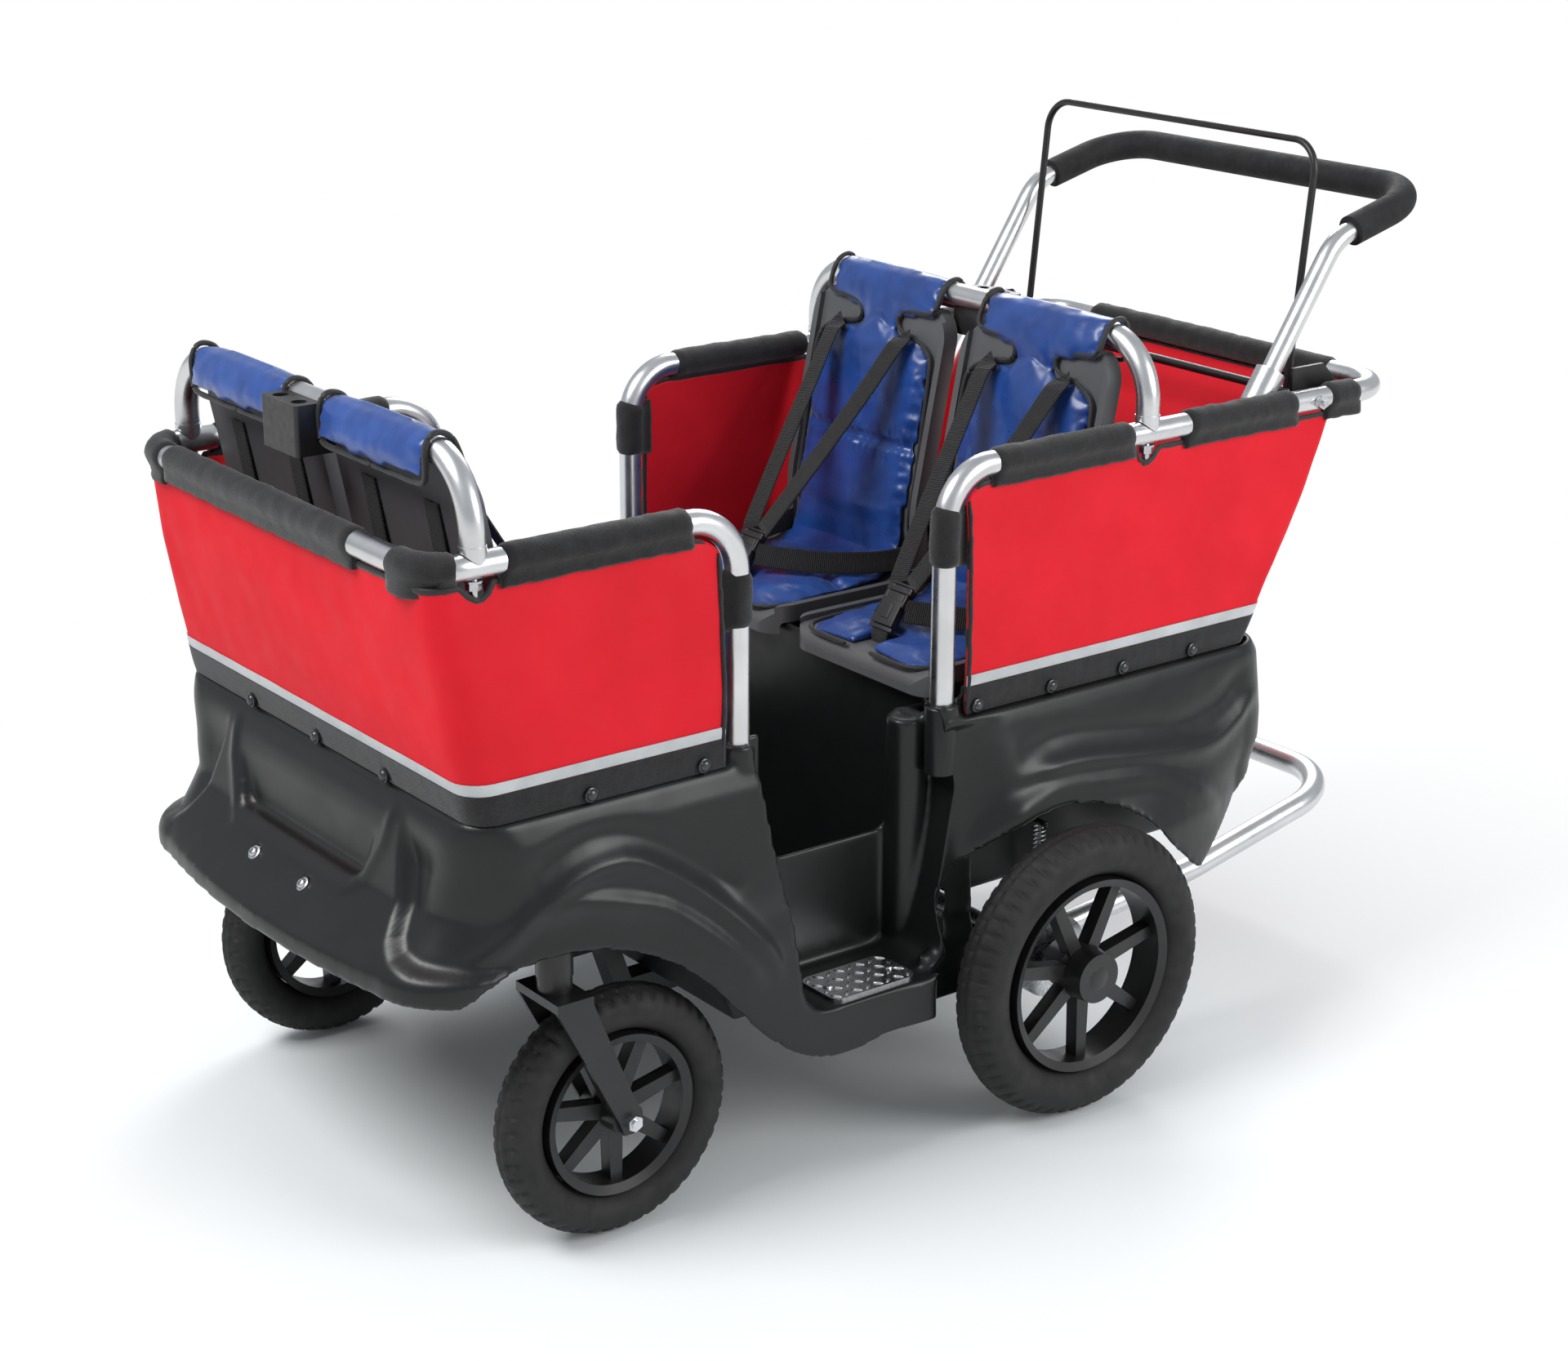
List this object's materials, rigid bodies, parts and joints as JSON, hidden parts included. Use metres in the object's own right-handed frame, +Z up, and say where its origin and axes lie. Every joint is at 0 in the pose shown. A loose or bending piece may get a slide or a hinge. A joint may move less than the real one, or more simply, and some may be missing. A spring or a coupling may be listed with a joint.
{
  "type": "multi seat daycare stroller",
  "caption": "Multi seat daycare stroller: moulded tub, facing padded seats with harnesses, red canvas sides, caster front wheels, braked rear wheels and a telescopic push handle.",
  "frame": {"origin": "centre of the bounding box at the ground", "axes": "+Y towards the push handle (rear), -Y the front, +X the stroller's left side, +Z up"},
  "size_m": [0.786, 1.376, 0.965],
  "materials": {
    "tub_plastic": "moulded satin",
    "seat_plastic": "satin",
    "fitting_plastic": "satin",
    "pad_blue": "sheen nylon",
    "canvas_red": "woven coated canvas",
    "trim_fabric": "woven binding",
    "webbing": "woven webbing",
    "reflective_tape": "silver retroreflective",
    "black_steel": "satin powder coat",
    "silver_tube": "satin anodised",
    "zinc_steel": "zinc plated",
    "chequer_plate": "rolled chequer",
    "foam_rubber": "fine foam",
    "tyre_rubber": "matt",
    "rim_plastic": "satin black"
  },
  "bodies": {
    "stroller_frame": {"tub": "tub_plastic", "chassis_frame": "black_steel", "caster_mounts": "black_steel", "rear_axle": "zinc_steel", "bumper_bar": "silver_tube", "front_rail": "silver_tube", "rear_rail": "silver_tube", "front_hoop": "silver_tube", "rear_hoop": "silver_tube", "hoop_saddles": "silver_tube", "hoop_bolts": "zinc_steel", "seat_shell_front_left": "seat_plastic", "seat_pad_front_left": "pad_blue", "seat_shell_rear_left": "seat_plastic", "seat_pad_rear_left": "pad_blue", "seat_shell_front_right": "seat_plastic", "seat_pad_front_right": "pad_blue", "seat_shell_rear_right": "seat_plastic", "seat_pad_rear_right": "pad_blue", "harness_front": "webbing", "harness_rear": "webbing", "harness_buckles": "fitting_plastic", "front_pole_socket": "fitting_plastic", "rear_pole_socket": "fitting_plastic", "front_canvas": "canvas_red", "rear_canvas": "canvas_red", "front_sleeves": "trim_fabric", "rear_sleeves": "trim_fabric", "reflective_tapes": "reflective_tape", "hem_bands": "trim_fabric", "canvas_studs": "fitting_plastic", "step_plates": "chequer_plate", "step_screws": "zinc_steel", "bumper_bolts": "zinc_steel", "handle_sockets": "silver_tube", "handle_collars": "silver_tube", "brake_brackets": "black_steel", "rail_bolts": "zinc_steel", "brake_backplates": "zinc_steel", "brake_springs": "zinc_steel"},
    "caster_left": {"caster_fork_left": "black_steel", "front_axle_left": "zinc_steel"},
    "front_wheel_left": {"front_tyre_left": "tyre_rubber", "front_rim_left": "rim_plastic"},
    "rear_wheel_left": {"rear_tyre_left": "tyre_rubber", "rear_rim_left": "rim_plastic"},
    "caster_right": {"caster_fork_right": "black_steel", "front_axle_right": "zinc_steel"},
    "front_wheel_right": {"front_tyre_right": "tyre_rubber", "front_rim_right": "rim_plastic"},
    "rear_wheel_right": {"rear_tyre_right": "tyre_rubber", "rear_rim_right": "rim_plastic"},
    "handle": {"handle_bar": "silver_tube", "handle_grip": "foam_rubber"},
    "brake_bow": {"brake_bow": "black_steel"},
    "brake_lever_left": {"brake_lever_left": "zinc_steel"},
    "lock_plunger_left": {"lock_plunger_left": "fitting_plastic"},
    "brake_lever_right": {"brake_lever_right": "zinc_steel"},
    "lock_plunger_right": {"lock_plunger_right": "fitting_plastic"}
  },
  "joints": [
    {"name": "caster_swivel_left", "type": "hinge", "parent": "stroller_frame", "child": "caster_left", "pos_m": [0.28, -0.513, 0.3], "axis": [0, 0, 1], "continuous": true},
    {"name": "front_wheel_spin_left", "type": "hinge", "parent": "caster_left", "child": "front_wheel_left", "pos_m": [0.28, -0.4525, 0.128], "axis": [1, 0, 0], "continuous": true},
    {"name": "rear_wheel_spin_left", "type": "hinge", "parent": "stroller_frame", "child": "rear_wheel_left", "pos_m": [0.362, 0.081, 0.15875], "axis": [1, 0, 0], "continuous": true},
    {"name": "caster_swivel_right", "type": "hinge", "parent": "stroller_frame", "child": "caster_right", "pos_m": [-0.28, -0.513, 0.3], "axis": [0, 0, 1], "continuous": true},
    {"name": "front_wheel_spin_right", "type": "hinge", "parent": "caster_right", "child": "front_wheel_right", "pos_m": [-0.28, -0.4525, 0.128], "axis": [1, 0, 0], "continuous": true},
    {"name": "rear_wheel_spin_right", "type": "hinge", "parent": "stroller_frame", "child": "rear_wheel_right", "pos_m": [-0.362, 0.081, 0.15875], "axis": [1, 0, 0], "continuous": true},
    {"name": "handle_slide", "type": "slide", "parent": "stroller_frame", "child": "handle", "axis": [0, 0.552, 0.8338], "range_m": [-0.11, 0]},
    {"name": "brake_bow_hinge", "type": "hinge", "parent": "stroller_frame", "child": "brake_bow", "pos_m": [0, 0.5, 0.69], "axis": [-1, 0, 0], "range_deg": [0, 27], "stiffness_Nm_per_rad": 3, "springref_deg": -11.46},
    {"name": "brake_lever_hinge_left", "type": "hinge", "parent": "stroller_frame", "child": "brake_lever_left", "pos_m": [0.2935, 0.081, 0.18845], "axis": [1, 0, 0], "range_deg": [0, 10]},
    {"name": "brake_lever_hinge_right", "type": "hinge", "parent": "stroller_frame", "child": "brake_lever_right", "pos_m": [-0.2935, 0.081, 0.18845], "axis": [1, 0, 0], "range_deg": [0, 10]},
    {"name": "lock_plunger_slide_left", "type": "slide", "parent": "stroller_frame", "child": "lock_plunger_left", "axis": [0, 0.8338, -0.552], "range_m": [0, 0.006], "stiffness_N_per_m": 300, "springref_m": -0.003},
    {"name": "lock_plunger_slide_right", "type": "slide", "parent": "stroller_frame", "child": "lock_plunger_right", "axis": [0, 0.8338, -0.552], "range_m": [0, 0.006], "stiffness_N_per_m": 300, "springref_m": -0.003}
  ],
  "couplings": [
    {"joint": "brake_lever_hinge_left", "follows": "brake_bow_hinge", "ratio": 0.357},
    {"joint": "brake_lever_hinge_right", "follows": "brake_bow_hinge", "ratio": 0.357}
  ]
}
